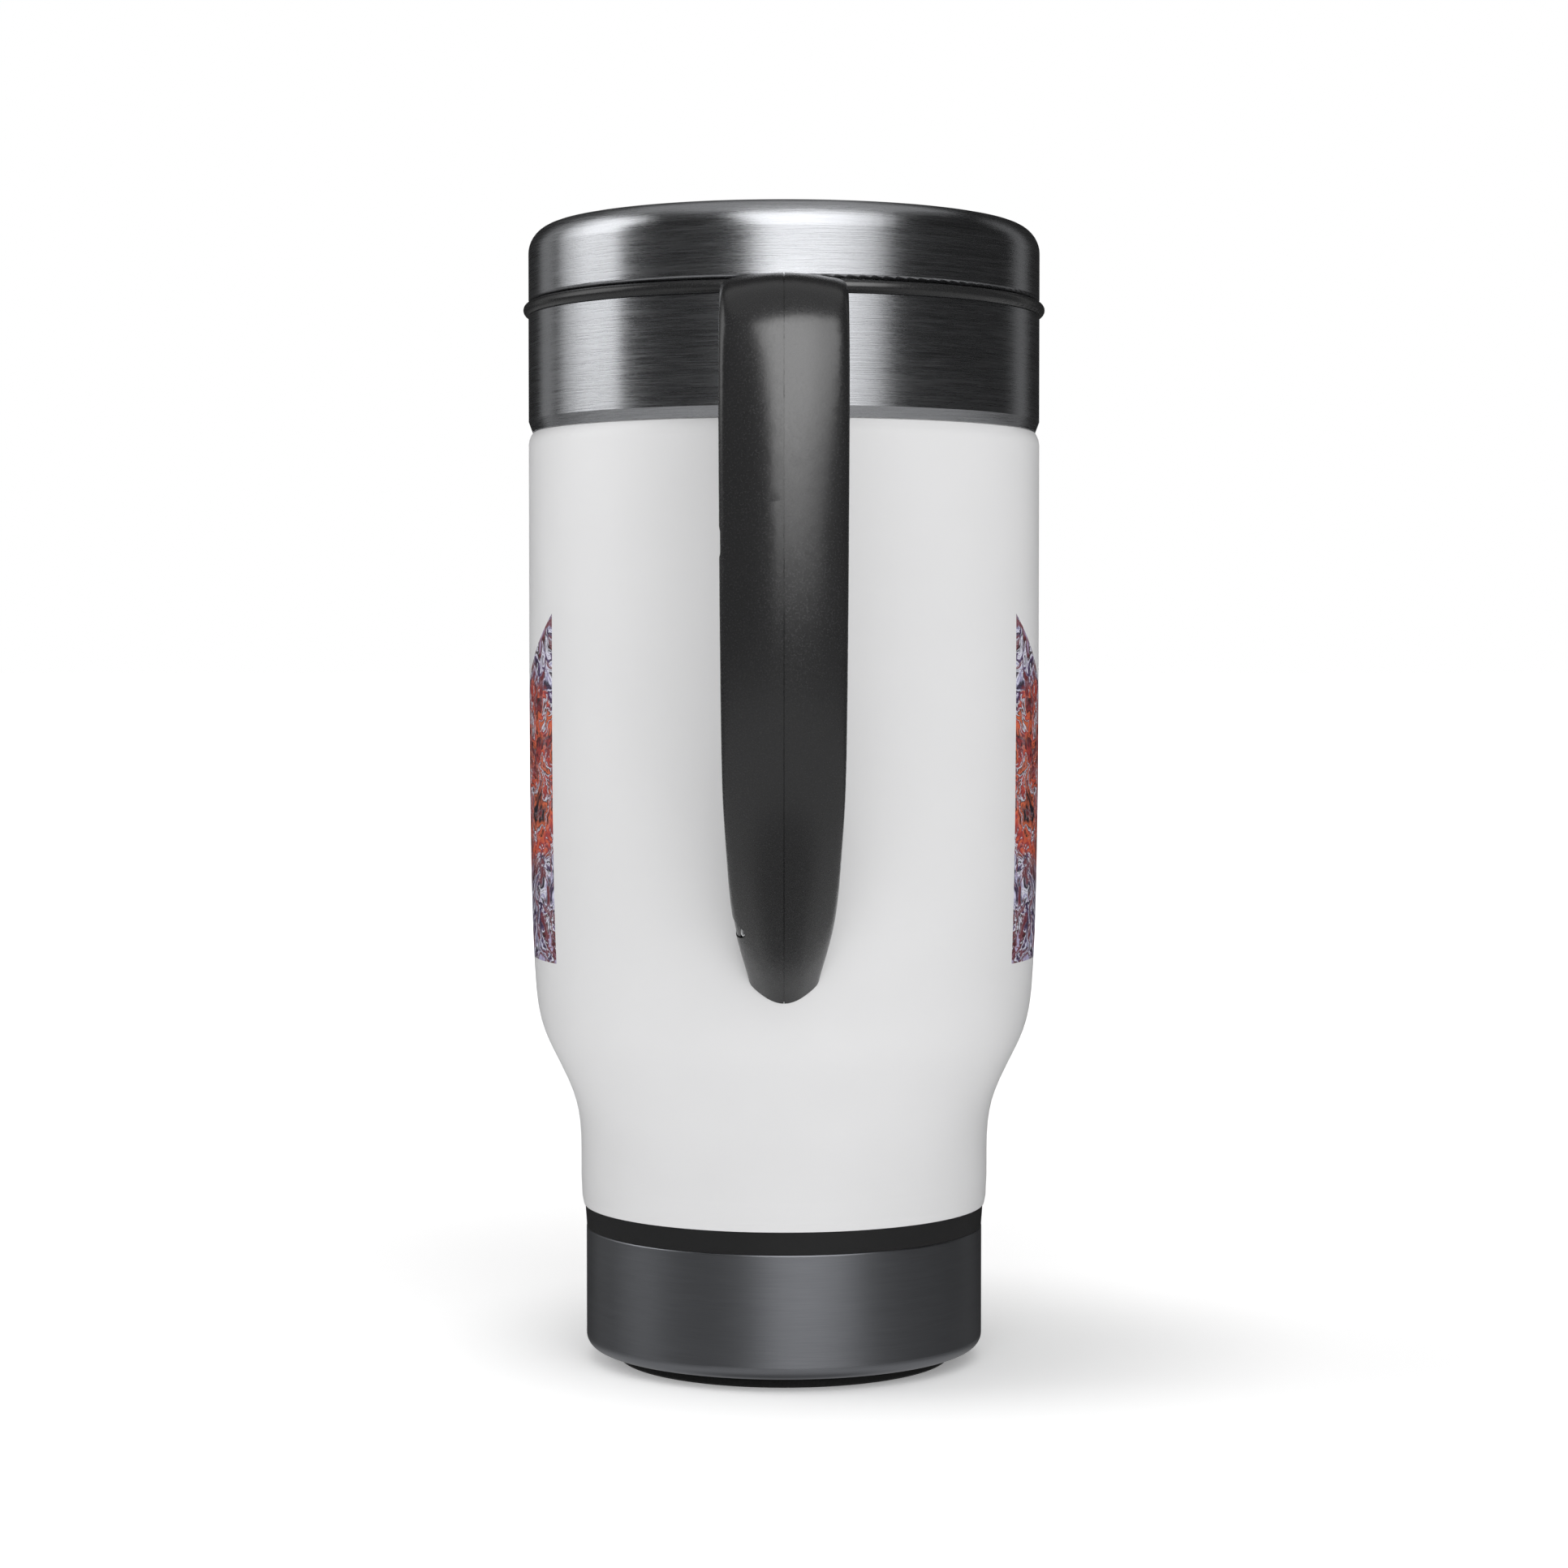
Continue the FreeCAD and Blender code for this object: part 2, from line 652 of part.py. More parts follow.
def shutter_rail(side):
    """Guide along one edge of the shutter, with an overhanging lip that keeps it down."""
    near = shutter_wide / 2 + 0.1
    low = (shutter_x - shutter_len / 2 - 0.2, shutter_x + shutter_len / 2 + shutter_travel + 0.2)
    lip_z = well_z + edge_step + 0.1
    web = block(low, sorted_pair(side * near, side * (near + 1.4)), (well_z, lip_z + 0.7))
    lip = block(low, sorted_pair(side * (near - 0.7), side * (near + 0.7)), (lip_z, lip_z + 0.7))
    keep = rod(well_r - 0.3, 5, Vec(0, 0, well_z))
    return web.fuse(lip).common(keep).removeSplitter()


def sorted_pair(a, b):
    return (min(a, b), max(a, b))


def lid_cover():
    """Disc that closes the plug, snapped into it, with openings for the chimney and the vent."""
    low = plug_bottom - cover_z
    disc = turned(
        (0, low),
        (plug_r - 1.0, low),
        (plug_r - 0.2, low + 0.8),
        (plug_r - 0.2, plug_bottom),
        (plug_in_r - 0.1, plug_bottom),
        (plug_in_r - 0.1, plug_bottom + 2.6),
        (plug_in_r - 0.5, plug_bottom + 3.0),
        (plug_in_r - 1.4, plug_bottom + 3.0),
        (plug_in_r - 1.4, plug_bottom),
        (0, plug_bottom),
    )
    room = 0.1
    disc = disc.cut(stadium(drink_x, drink_len + 2 * (chimney_wall + room), drink_wide + 2 * (chimney_wall + room),
                            low - 1, plug_bottom + 4))
    return disc.cut(rod(vent_post_r + room, 10, Vec(vent_x, 0, low - 1)))


def plug_seal():
    """Silicone ring in the plug's groove, with two wiping lips against the mouth."""
    root = seal_groove_r + 0.02
    low, high = seal_bottom, seal_bottom + seal_z
    valley = seal_r - 0.7
    return turned(
        (root, low),
        (seal_r - 0.5, low),
        ("arc", (seal_r, low + 0.6), (valley, low + 1.3)),
        (valley, high - 1.3),
        ("arc", (seal_r, high - 0.6), (seal_r - 0.5, high)),
        (root, high),
    )


def rim_seal():
    """Flat silicone ring that rests on the lip under the lid's skirt."""
    return turned(
        (plug_r + 0.1, lip_top),
        (neck_r - 0.1, lip_top),
        (neck_r + 0.3, lip_top + 0.3),
        (neck_r + 0.3, lip_top + rim_seal_z),
        (plug_r + 0.1, lip_top + rim_seal_z),
    )


# ---- shutter ------------------------------------------------------------------------------------------
def shutter():
    """Sliding plate with a stepped edge under the rails, thumb ridges and a stem through the deck."""
    clear = 0.05
    half = shutter_wide / 2
    ends = (shutter_x - shutter_len / 2, shutter_x + shutter_len / 2)
    foot = block(ends, (-half, half), (well_z + clear, well_z + edge_step))
    top_half = half - 0.9
    top = block((ends[0] + 0.6, ends[1] - 0.6), (-top_half, top_half), (well_z + clear, well_z + shutter_z))
    top = top.makeFillet(0.5, [e for e in top.Edges if e.BoundBox.ZMin > well_z + shutter_z - 0.01])
    foot = foot.makeFillet(2.0, [e for e in foot.Edges if e.BoundBox.ZLength > 0.5])
    plate = foot.fuse(top)
    ridges = [thumb_ridge(stem_x + step) for step in (-3.6, 0.0, 3.6)]
    stem_half = stem_wide / 2
    stem = block((stem_x - stem_half, stem_x + stem_half), (-stem_half, stem_half),
                 (well_z - deck_z - 1.6, well_z + 0.5))
    plate = plate.fuse(ridges + [stem])
    return plate.cut(shutter_pocket(0.02)).removeSplitter()


def thumb_ridge(x):
    """One rounded rib across the shutter."""
    length, radius = 9.0, 1.1
    centre_z = well_z + shutter_z + grip_rise - radius
    bar = rod(radius, length, Vec(x, -length / 2, centre_z), Vec(0, 1, 0))
    ends = [Part.makeSphere(radius, Vec(x, side * length / 2, centre_z)) for side in (-1, 1)]
    keep = block((x - 2, x + 2), (-length, length), (well_z + shutter_z - 0.3, well_z + 10))
    return bar.fuse(ends).common(keep)


def shutter_pocket(room):
    """Recess under the shutter for its seal."""
    low, high = well_z - 0.5, well_z + 1.0 + room
    return stadium(drink_x, drink_len + 1.6 + 2 * room, drink_wide + 2.4 + 2 * room, low, high)


def shutter_seal():
    """Silicone pad that closes the drink hole."""
    return stadium(drink_x, drink_len + 1.6, drink_wide + 2.4, well_z + 0.02, well_z + 1.0)


def shutter_clip():
    """Retainer snapped on the stem's end, under the deck."""
    under = well_z - deck_z
    plate = block((stem_x - 4.5, stem_x + 4.5), (-4.5, 4.5), (under - 1.3, under - 0.1))
    plate = plate.makeFillet(1.0, [e for e in plate.Edges if e.BoundBox.ZLength > 0.5])
    half = stem_wide / 2 + 0.02
    return plate.cut(block((stem_x - half, stem_x + half), (-half, half), (under - 3, under)))


HANDLE_BLANK = handle_blank()
PIECES = {
    "outer_shell": outer_shell,
    "neck_shell": neck_shell,
    "inner_liner": inner_liner,
    "floor_disc": floor_disc,
    "vacuum_seal": vacuum_seal,
    "getter": getter,
    "base_sleeve": base_sleeve,
    "base_cup": base_cup,
    "foot_pad": foot_pad,
    "collar_ring": collar_ring,
    "handle_left": lambda: handle_half(HANDLE_BLANK, -1),
    "handle_right": lambda: handle_half(HANDLE_BLANK, 1),
    "handle_screws": handle_screws,
    "handle_plugs": handle_plugs,
    "lower_bracket": lower_bracket,
    "lid_cap": lid_cap,
    "lid_body": lid_body,
    "lid_cover": lid_cover,
    "plug_seal": plug_seal,
    "rim_seal": rim_seal,
    "shutter": shutter,
    "shutter_seal": shutter_seal,
    "shutter_clip": shutter_clip,
}


def main():
    os.makedirs("parts", exist_ok=True)
    for name, make in PIECES.items():
        shape = make()
        solids = shape.Solids
        sound = shape.isValid() and all(s.Volume > 0 and s.isClosed() for s in solids)
        box = shape.BoundBox
        print(f"{name:14} solids {len(solids)} volume {shape.Volume:9.1f} z {box.ZMin:7.2f} {box.ZMax:7.2f}"
              f" {'ok' if sound else 'NOT SOUND'}")
        shape.exportStep(f"parts/{name}.step")


main()
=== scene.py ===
"""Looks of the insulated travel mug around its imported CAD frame: materials, print, studio and camera."""
import math

import bpy
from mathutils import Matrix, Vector

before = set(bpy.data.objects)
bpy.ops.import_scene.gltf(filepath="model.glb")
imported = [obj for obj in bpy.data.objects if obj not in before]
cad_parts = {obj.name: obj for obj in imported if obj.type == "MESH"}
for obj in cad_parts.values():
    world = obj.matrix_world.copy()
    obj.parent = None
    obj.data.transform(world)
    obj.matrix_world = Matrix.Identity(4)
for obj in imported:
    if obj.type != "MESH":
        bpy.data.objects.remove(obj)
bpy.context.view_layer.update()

scene = bpy.context.scene

# ---- the barrel's print, in metres and radians --------------------------------------------------------
PRINT_BOTTOM = 0.0636
PRINT_CORNER = 0.1170                  # top of its upright edges
PRINT_SIDE = 0.1046                    # top at the mug's sides
PRINT_RISE = 0.026                     # how far the top rises again at the back
PRINT_EDGE = math.radians(62.0)        # upright edges, measured from the handle, each way
PRINT_DIP_TURN = math.radians(86.0)    # where the top edge has come down to PRINT_SIDE
PRINT_RISE_TURN = math.radians(100.0)  # where it starts to rise towards the back
PRINT_WARM = 0.0925                    # height where the print's colours are warmest
PRINT_WARM_FALL = 26.0                 # how fast they turn cool above and below it, per metre

# ---- the print's colours ------------------------------------------------------------------------------
INK_BLACK = (0.014, 0.012, 0.018)
INK_PURPLE = (0.10, 0.05, 0.15)
INK_WINE = (0.16, 0.022, 0.028)
INK_RED = (0.42, 0.045, 0.035)
INK_ORANGE = (0.62, 0.12, 0.045)
INK_LAVENDER = (0.38, 0.36, 0.54)
INK_PALE = (0.72, 0.72, 0.82)

# ---- steel --------------------------------------------------------------------------------------------
FINE_SHARE = 0.72                      # of the fine scratches in the brushed marks, against the broad bands
RING_SHARE = 0.4                       # of the radius, counted as height, in the marks on level faces
ACROSS_TANGENT = 0.25                  # a quarter turn: highlights stretch across the brushing

# ---- studio and camera, in metres and radians ---------------------------------------------------------
AIM = Vector((0, 0, 0.09))             # the mug's middle, where the lights point
FLOOR_HALF = 30.0
FLOOR_TONE = (0.9, 0.9, 0.9, 1.0)
PAINTED_SHADOW_CENTRE = (0.014, 0.012)         # middle of the painted soft shadow, a dip in the floor's painted glow, that the mug stands in
PAINTED_SHADOW_CORE = 0.03                     # radius of its darkest part
PAINTED_SHADOW_EDGE = 0.08                     # where the painted shadow ends, and the floor's own painted glow begins to grow
PAINTED_GLOW_EDGE = 0.9                        # where that painted glow is full
CAMERA_PLACE = (0.0, -0.5491, 0.1098)
CAMERA_TILT = 0.0353                   # down from level
CAMERA_LENS = 80.0                     # mm
CAMERA_SENSOR = 36.0                   # mm
WHITE = (1.0, 1.0, 1.0, 1.0)
AMBIENT = 0.225                        # strength of the even glow on the surfaces
# The room's brightness in reflections, by the sine of the elevation: dark above, with a pale floor that
# fades towards the horizon and under the mug.
GLOSS_ROOM = [(-1.0, 0.10), (-0.93, 0.14), (-0.82, 0.40), (-0.46, 0.40), (-0.20, 0.02), (1.0, 0.015)]
# Front softboxes glow less towards the right: (start, end, level), as in softbox.
FRONT_FADE = (1.0, 0.55, 0.45)


# ---- node helpers -------------------------------------------------------------------------------------
class Nodes:
    """A node tree, with short ways to add the nodes used here."""

    def __init__(self, tree):
        self.tree = tree

    def add(self, kind, **settings):
        node = self.tree.nodes.new(kind)
        for key, value in settings.items():
            setattr(node, key, value)
        return node

    def link(self, source, target):
        self.tree.links.new(source, target)

    def feed(self, socket, value):
        """Links a socket, or sets it, as value is a socket or a plain number, vector or colour."""
        if isinstance(value, bpy.types.NodeSocket):
            self.link(value, socket)
        else:
            socket.default_value = value

    def math(self, operation, a, b=0.0):
        node = self.add("ShaderNodeMath", operation=operation)
        for socket, value in zip(node.inputs, (a, b)):
            self.feed(socket, value)
        return node.outputs[0]

    def distance(self, x, y):
        """The length of the flat vector x, y."""
        return self.math("SQRT", self.math("ADD", self.math("MULTIPLY", x, x), self.math("MULTIPLY", y, y)))

    def split(self, vector):
        node = self.add("ShaderNodeSeparateXYZ")
        self.link(vector, node.inputs[0])
        return node.outputs

    def join(self, x, y, z):
        node = self.add("ShaderNodeCombineXYZ")
        for socket, value in zip(node.inputs, (x, y, z)):
            self.feed(socket, value)
        return node.outputs[0]

    def noise(self, vector, scale, detail=2.0, rough=0.5, distortion=0.0, output="Fac"):
        node = self.add("ShaderNodeTexNoise")
        self.link(vector, node.inputs["Vector"])
        node.inputs["Scale"].default_value = scale
        node.inputs["Detail"].default_value = detail
        node.inputs["Roughness"].default_value = rough
        node.inputs["Distortion"].default_value = distortion
        return node.outputs[output]

    def span(self, value, low, high, to_low, to_high, smooth=False):
        """Maps low..high to to_low..to_high, clamped."""
        node = self.add("ShaderNodeMapRange", interpolation_type="SMOOTHSTEP" if smooth else "LINEAR")
        for key, number in (("From Min", low), ("From Max", high), ("To Min", to_low), ("To Max", to_high)):
            node.inputs[key].default_value = number
        self.feed(node.inputs["Value"], value)
        return node.outputs["Result"]

    def vary(self, noise, low, high):
        """Spreads a noise, whose values mostly lie between 0.3 and 0.7, over low..high."""
        return self.span(noise, 0.3, 0.7, low, high)

    def ramp(self, value, stops):
        """A colour that follows stops, a list of (position, colour)."""
        node = self.add("ShaderNodeValToRGB")
        elements = node.color_ramp.elements
        while len(elements) < len(stops):
            elements.new(0.5)
        for element, (at, colour) in zip(elements, stops):
            element.position = at
            element.color = (*colour, 1.0)
        self.feed(node.inputs["Fac"], value)
        return node.outputs["Color"]

    def mix(self, factor, a, b, blend="MIX"):
        node = self.add("ShaderNodeMix", data_type="RGBA", blend_type=blend)
        colours = [s for s in node.inputs if s.type == "RGBA"]
        self.feed(node.inputs[0], factor)
        self.feed(colours[0], a if isinstance(a, bpy.types.NodeSocket) else (*a, 1.0))
        self.feed(colours[1], b if isinstance(b, bpy.types.NodeSocket) else (*b, 1.0))
        return [s for s in node.outputs if s.type == "RGBA"][0]

    def shaded(self, tone, shade):
        """A tone made darker or lighter by the number shade."""
        return self.mix(1.0, tone, self.join(shade, shade, shade), blend="MULTIPLY")


class Surface(Nodes):
    """A new material, with its nodes and its shader."""

    def __init__(self, name):
        self.material = bpy.data.materials.new(name)
        self.material.use_nodes = True
        super().__init__(self.material.node_tree)
        self.shader = self.tree.nodes["Principled BSDF"]

    def set(self, **sockets):
        """Sets the shader's sockets: Base_Color=..., Roughness=..."""
        for key, value in sockets.items():
            self.feed(self.shader.inputs[key.replace("_", " ")], value)

    def place(self):
        """The object's own coordinates, in metres: the row frame."""
        return self.add("ShaderNodeTexCoord").outputs["Object"]

    def stretched(self, across, along):
        """Coordinates scaled across and along the axis, for marks that run round it or along it.

        A share of the radius comes off the height, so that level faces get rings too."""
        x, y, z = self.split(self.place())
        height = self.math("SUBTRACT", z, self.math("MULTIPLY", self.distance(x, y), RING_SHARE))
        return self.join(self.math("MULTIPLY", x, across), self.math("MULTIPLY", y, across),
                         self.math("MULTIPLY", height, along))

    def bump(self, height, distance, strength=1.0):
        node = self.add("ShaderNodeBump")
        node.inputs["Distance"].default_value = distance
        node.inputs["Strength"].default_value = strength
        self.link(height, node.inputs["Height"])
        self.link(node.outputs[0], self.shader.inputs["Normal"])


# ---- materials ----------------------------------------------------------------------------------------
def brushed_steel(name, tone, roughness, aniso, streak=1.0):
    """Steel brushed round the axis: fine long scratches, and broader bands where the belt pressed harder.

    streak says how strongly the marks show."""
    n = Surface(name)
    fine = n.noise(n.stretched(across=170, along=7000), 1.0, detail=3.0, rough=0.6)
    broad = n.noise(n.stretched(across=40, along=1300), 1.0, detail=3.0)
    marks = n.math("ADD", n.math("MULTIPLY", fine, FINE_SHARE), n.math("MULTIPLY", broad, 1 - FINE_SHARE))
    smudge = n.noise(n.place(), 38.0, detail=2.0)
    shade = n.span(marks, 0.34, 0.66, 1.0 - 0.16 * streak, 1.0 + 0.10 * streak)
    rough = n.math("ADD", n.vary(marks, roughness - 0.05 * streak, roughness + 0.06 * streak),
                   n.span(smudge, 0.4, 0.7, -0.012, 0.02))
    tangent = n.add("ShaderNodeTangent", direction_type="RADIAL", axis="Z")
    n.set(Base_Color=n.shaded(tone, shade), Metallic=1.0, Roughness=rough, Anisotropic=aniso,
          Anisotropic_Rotation=ACROSS_TANGENT, Tangent=tangent.outputs[0])
    n.bump(marks, 0.000028 * streak)
    return n.material


def plain_steel(name, tone, roughness):
    """Drawn sheet steel: soft drawing lines along the axis and a little mottling."""
    n = Surface(name)
    lines = n.noise(n.stretched(across=900, along=60), 1.0, detail=3.0)
    mottle = n.noise(n.place(), 160.0, detail=3.0)
    n.set(Base_Color=n.shaded(tone, n.vary(lines, 0.9, 1.05)), Metallic=1.0,
          Roughness=n.vary(mottle, roughness - 0.05, roughness + 0.07))
    n.bump(lines, 0.00001, strength=0.4)
    return n.material


def moulded_plastic(name, tone, roughness, grain_scale, grain_depth):
    """Moulded plastic with a fine spark-eroded grain and faint flow variation."""
    n = Surface(name)
    grain = n.noise(n.place(), grain_scale, detail=2.0, rough=0.6)
    flow = n.noise(n.place(), 45.0, detail=2.0)
    shade = n.math("MULTIPLY", n.vary(grain, 0.94, 1.06), n.vary(flow, 0.96, 1.04))
    n.set(Base_Color=n.shaded(tone, shade),
          Roughness=n.math("ADD", n.vary(grain, roughness - 0.05, roughness + 0.05),
                           n.vary(flow, -0.02, 0.02)))
    n.bump(grain, grain_depth)
    return n.material


def rubber(name, tone, roughness=0.75, clear=0.0):
    """Matt rubber with a fine grain and a little dust. clear lets light into it, as silicone does."""
    n = Surface(name)
    grain = n.noise(n.place(), 2600.0, detail=3.0)
    dust = n.noise(n.place(), 300.0, detail=4.0)
    n.set(Base_Color=n.shaded(tone, n.span(dust, 0.35, 0.75, 0.92, 1.25)),
          Roughness=n.vary(grain, roughness - 0.08, roughness + 0.08))
    if clear:
        n.set(Subsurface_Weight=clear, Subsurface_Scale=0.002)
    n.bump(grain, 0.00002, strength=0.6)
    return n.material


def print_mask(n, x, y, z):
    """1 inside the print: a level foot, upright ends, and a top edge that dips at each side and rises at
    the back."""
    turn = n.math("ABSOLUTE", n.math("ARCTAN2", x, n.math("MULTIPLY", y, -1.0)))  # 0 at the handle
    top = n.math("ADD", n.span(turn, PRINT_EDGE, PRINT_DIP_TURN, PRINT_CORNER, PRINT_SIDE),
                 n.span(turn, PRINT_RISE_TURN, math.pi, 0.0, PRINT_RISE, smooth=True))
    inside = n.math("MULTIPLY", n.math("GREATER_THAN", z, PRINT_BOTTOM), n.math("LESS_THAN", z, top))
    return n.math("MULTIPLY", inside, n.math("GREATER_THAN", turn, PRINT_EDGE))


def marbling(n, x, y, z):
    """Poured paint, the same on both sides: coordinates bent by noise, then bands of a few colours, warm
    at mid-height and cool above and below."""
    folded = n.join(n.math("ABSOLUTE", x), y, z)
    bent = n.add("ShaderNodeVectorMath", operation="MULTIPLY_ADD")
    n.link(n.noise(folded, 55.0, detail=3.0, output="Color"), bent.inputs[0])
    bent.inputs[1].default_value = (0.028, 0.028, 0.028)
    n.link(folded, bent.inputs[2])
    paint = n.noise(bent.outputs[0], 115.0, detail=5.0, rough=0.6, distortion=0.6)
    veins = n.noise(bent.outputs[0], 250.0, detail=6.0, rough=0.65, distortion=1.2)
    warm = n.ramp(paint, [(0.34, INK_BLACK), (0.39, INK_RED), (0.43, INK_WINE), (0.455, INK_BLACK),
                          (0.475, INK_ORANGE), (0.51, INK_RED), (0.53, INK_WINE), (0.545, INK_PALE),
                          (0.56, INK_BLACK), (0.59, INK_ORANGE), (0.65, INK_BLACK)])
    cool = n.ramp(paint, [(0.34, INK_PURPLE), (0.40, INK_BLACK), (0.45, INK_LAVENDER), (0.47, INK_PALE),
                          (0.49, INK_BLACK), (0.53, INK_PURPLE), (0.555, INK_PALE), (0.575, INK_BLACK),
                          (0.61, INK_WINE), (0.66, INK_LAVENDER)])
    lines = n.ramp(veins, [(0.40, INK_BLACK), (0.46, INK_PURPLE), (0.50, INK_LAVENDER), (0.53, INK_PALE),
                           (0.57, INK_WINE)])
    from_warm = n.math("ABSOLUTE", n.math("SUBTRACT", z, PRINT_WARM))
    zone = n.math("ADD", n.math("MULTIPLY", from_warm, PRINT_WARM_FALL), n.noise(folded, 60.0, detail=2.0))
    marble = n.mix(n.span(zone, 0.80, 0.88, 0.0, 1.0, smooth=True), warm, cool)
    return n.mix(n.span(veins, 0.53, 0.57, 0.0, 0.85), marble, lines)


def printed_coat(name, tone):
    """Coating with a soft orange peel, and a marbled print fused into it away from the handle."""
    n = Surface(name)
    x, y, z = n.split(n.place())
    peel = n.noise(n.place(), 1500.0, detail=1.0)
    soft = n.noise(n.place(), 60.0, detail=2.0)
    coat = n.shaded(tone, n.vary(soft, 0.985, 1.0))
    n.set(Base_Color=n.mix(print_mask(n, x, y, z), coat, marbling(n, x, y, z)),
          Roughness=n.vary(soft, 0.30, 0.36), Specular_IOR_Level=0.45)
    n.bump(peel, 0.000004, strength=0.5)
    return n.material


STEEL = brushed_steel("steel_brushed", (0.60, 0.61, 0.635), 0.27, 0.75)
BASE_STEEL = brushed_steel("steel_base", (0.31, 0.318, 0.342), 0.40, 0.5, streak=0.35)
LINER = plain_steel("steel_sheet", (0.66, 0.66, 0.655), 0.33)
COAT = printed_coat("coat_white_printed", (0.685, 0.685, 0.69))
HANDLE = moulded_plastic("plastic_handle", (0.017, 0.017, 0.0175), 0.25, 3600.0, 0.000004)
BLACK = moulded_plastic("plastic_black", (0.012, 0.012, 0.0125), 0.34, 3400.0, 0.000006)
SHUTTER = moulded_plastic("plastic_shutter", (0.022, 0.022, 0.024), 0.42, 3400.0, 0.000010)
FOOT = rubber("rubber_foot", (0.004, 0.004, 0.004))
SILICONE = rubber("silicone_grey", (0.52, 0.53, 0.54), 0.42, clear=0.25)
ZINC = plain_steel("zinc_screw", (0.60, 0.61, 0.62), 0.24)
GLASS_BEAD = moulded_plastic("solder_glass", (0.20, 0.19, 0.18), 0.16, 500.0, 0.00004)
GETTER = plain_steel("getter_pill", (0.26, 0.26, 0.26), 0.6)

NODE_MATERIALS = {
    "outer_shell": COAT,
    "neck_shell": STEEL,
    "inner_liner": LINER,
    "floor_disc": LINER,
    "vacuum_seal": GLASS_BEAD,
    "getter": GETTER,
    "base_sleeve": BLACK,
    "base_cup": BASE_STEEL,
    "foot_pad": FOOT,
    "collar_ring": HANDLE,
    "handle_left": HANDLE,
    "handle_right": HANDLE,
    "handle_screws": ZINC,
    "handle_plugs": HANDLE,
    "lower_bracket": LINER,
    "lid_cap": STEEL,
    "lid_body": BLACK,
    "lid_cover": BLACK,
    "plug_seal": SILICONE,
    "rim_seal": SILICONE,
    "shutter": SHUTTER,
    "shutter_seal": SILICONE,
    "shutter_clip": SHUTTER,
}
for node, material in NODE_MATERIALS.items():
    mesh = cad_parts[node].data
    mesh.materials.clear()
    mesh.materials.append(material)


# ---- studio -------------------------------------------------------------------------------------------
def fade_edge(light, start, end, level):
    """Lets a softbox glow less towards one side: from level up to full, from start to end of its width."""
    light.use_nodes = True
    n = Nodes(light.node_tree)
    across = n.split(n.add("ShaderNodeNewGeometry").outputs["Parametric"])["X"]
    n.link(n.span(across, start, end, level, 1.0), n.tree.nodes["Emission"].inputs["Strength"])


def softbox(name, azimuth, elevation, distance, size, power, fade=None):
    """Rectangular area light, aimed at the mug's middle. Azimuth 0 is on the handle's side (-Y), 90 on +X.

    Angles are in degrees, power is in watts, and fade is (start, end, level), as in fade_edge."""
    a, e = math.radians(azimuth), math.radians(elevation)
    back = Vector((math.sin(a) * math.cos(e), -math.cos(a) * math.cos(e), math.sin(e)))
    light = bpy.data.lights.new(name, "AREA")
    light.shape = "RECTANGLE"
    light.size, light.size_y = size
    light.energy = power
    if fade:
        fade_edge(light, *fade)
    holder = bpy.data.objects.new(name, light)
    holder.location = AIM + back * distance
    holder.rotation_euler = (-back).to_track_quat("-Z", "Y").to_euler()
    scene.collection.objects.link(holder)
    return holder


def light_only(holder, nodes):
    """Lets a light reach only these nodes."""
    group = bpy.data.collections.new(holder.name + "_receivers")
    for node in nodes:
        group.objects.link(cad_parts[node])
    holder.light_linking.receiver_collection = group


def make_lights():
    """A large softbox in front, one on the left and one overhead, thin strips from behind, and a gleam that
    only the handle and the collar get."""
    softbox("box_left", -98, 26, 1.5, (1.15, 1.15), 7.2, fade=(0.0, 0.5, 0.25))
    softbox("box_front", 16, 33, 1.8, (2.0, 2.2), 27, fade=FRONT_FADE)
    softbox("box_top", 180, 82, 1.6, (1.8, 1.8), 3.5)
    softbox("strip_right", 131, 15, 1.5, (0.35, 1.4), 0.25)
    softbox("strip_left", -131, 15, 1.5, (0.4, 1.4), 0.40)
    gleam = softbox("box_gleam", 16, 33, 1.7, (1.9, 2.1), 50, fade=FRONT_FADE)
    gleam.visible_diffuse = False
    light_only(gleam, ("handle_left", "handle_right", "handle_plugs", "collar_ring"))


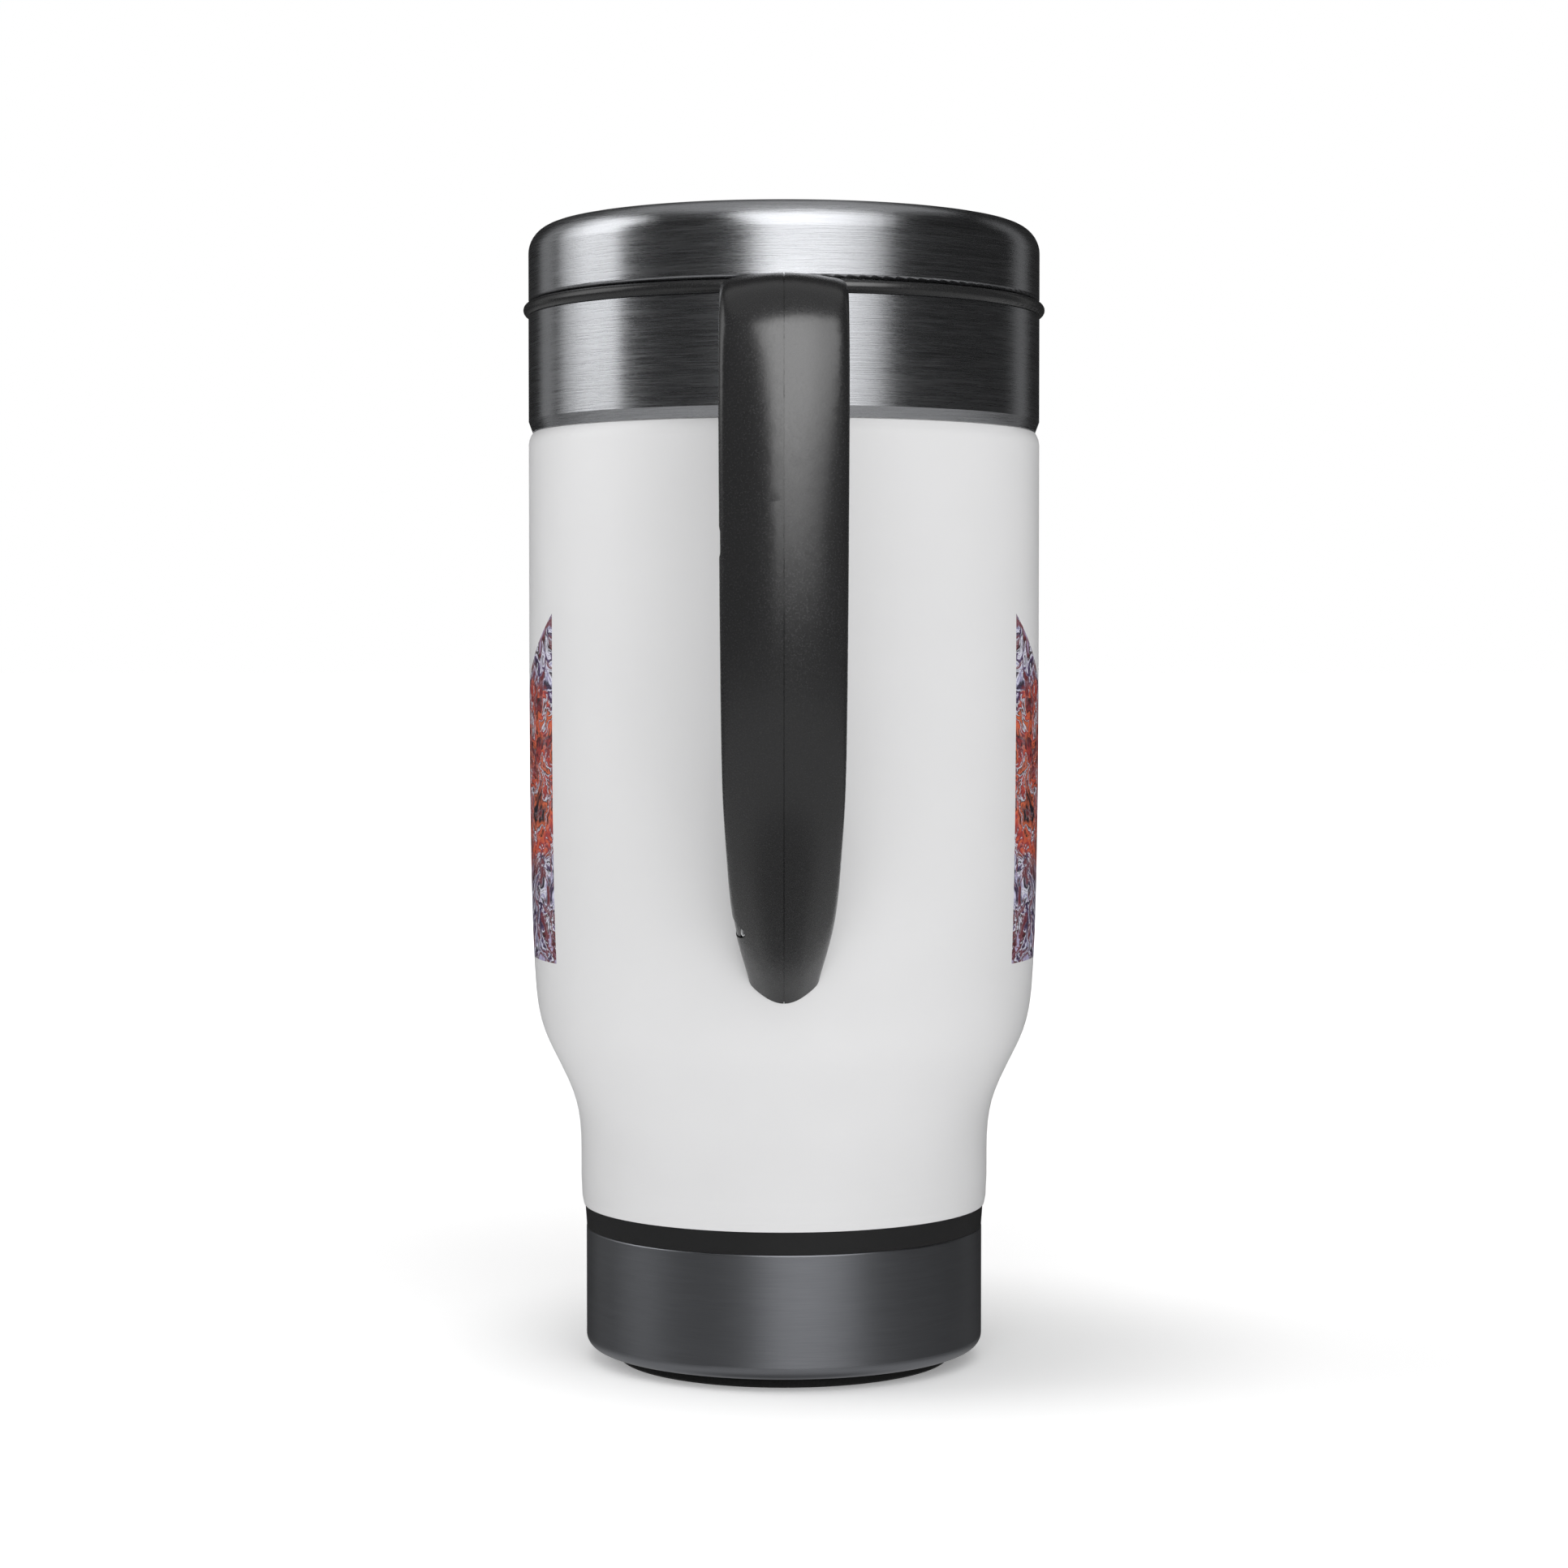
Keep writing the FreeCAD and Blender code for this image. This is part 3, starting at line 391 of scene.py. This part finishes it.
def make_world():
    """White backdrop for the camera, an even glow for the surfaces, and GLOSS_ROOM for reflections."""
    world = bpy.data.worlds.new("studio")
    scene.world = world
    world.use_nodes = True
    n = Nodes(world.node_tree)
    n.tree.nodes.clear()
    rays = n.add("ShaderNodeLightPath")

    def background(colour, strength):
        node = n.add("ShaderNodeBackground")
        n.feed(node.inputs["Color"], colour)
        node.inputs["Strength"].default_value = strength
        return node.outputs[0]

    def choose(ray, otherwise, seen):
        node = n.add("ShaderNodeMixShader")
        for socket, source in zip(node.inputs, (rays.outputs[ray], otherwise, seen)):
            n.link(source, socket)
        return node.outputs[0]

    up = n.split(n.add("ShaderNodeTexCoord").outputs["Generated"])["Z"]
    room = n.ramp(n.span(up, -1.0, 1.0, 0.0, 1.0),
                  [((height + 1) / 2, (level, level, level)) for height, level in GLOSS_ROOM])
    surfaces = choose("Is Glossy Ray", background(WHITE, AMBIENT), background(room, 1.0))
    everything = choose("Is Camera Ray", surfaces, background(WHITE, 1.0))
    n.link(everything, n.add("ShaderNodeOutputWorld").inputs[0])


def make_floor():
    """Plain pale floor under and behind the mug. Its glow is painted light, and it glows less near the mug:
    a wide, painted soft shadow.
    """
    mesh = bpy.data.meshes.new("floor")
    corners = [(-FLOOR_HALF, -FLOOR_HALF, 0), (FLOOR_HALF, -FLOOR_HALF, 0),
               (FLOOR_HALF, FLOOR_HALF, 0), (-FLOOR_HALF, FLOOR_HALF, 0)]
    mesh.from_pydata(corners, [], [(0, 1, 2, 3)])
    floor = bpy.data.objects.new("floor", mesh)
    scene.collection.objects.link(floor)
    n = Surface("floor_white_painted_shadow")
    x, y, _ = n.split(n.place())
    away = n.distance(n.math("SUBTRACT", x, PAINTED_SHADOW_CENTRE[0]), n.math("SUBTRACT", y, PAINTED_SHADOW_CENTRE[1]))
    # Painted light: the floor's emission is lowest round the mug, a painted soft shadow, and grows outwards
    # into a painted glow.
    near = n.span(away, PAINTED_SHADOW_CORE, PAINTED_SHADOW_EDGE, 0.22, 0.43, smooth=True)
    far = n.span(away, PAINTED_SHADOW_EDGE, PAINTED_GLOW_EDGE, 0.0, 0.6)
    n.set(Base_Color=FLOOR_TONE, Roughness=1.0, Specular_IOR_Level=0.0,
          Emission_Color=WHITE, Emission_Strength=n.math("ADD", near, far))
    mesh.materials.append(n.material)
    floor.visible_glossy = False


def make_camera():
    camera = bpy.data.cameras.new("camera")
    camera.lens = CAMERA_LENS
    camera.sensor_width = CAMERA_SENSOR
    camera.clip_start, camera.clip_end = 0.01, 100.0
    eye = bpy.data.objects.new("camera", camera)
    eye.location = CAMERA_PLACE
    eye.rotation_euler = (math.pi / 2 - CAMERA_TILT, 0.0, 0.0)
    scene.collection.objects.link(eye)
    scene.camera = eye


make_lights()
make_world()
make_floor()
make_camera()
scene.view_settings.view_transform = "Standard"
scene.cycles.use_denoising = True
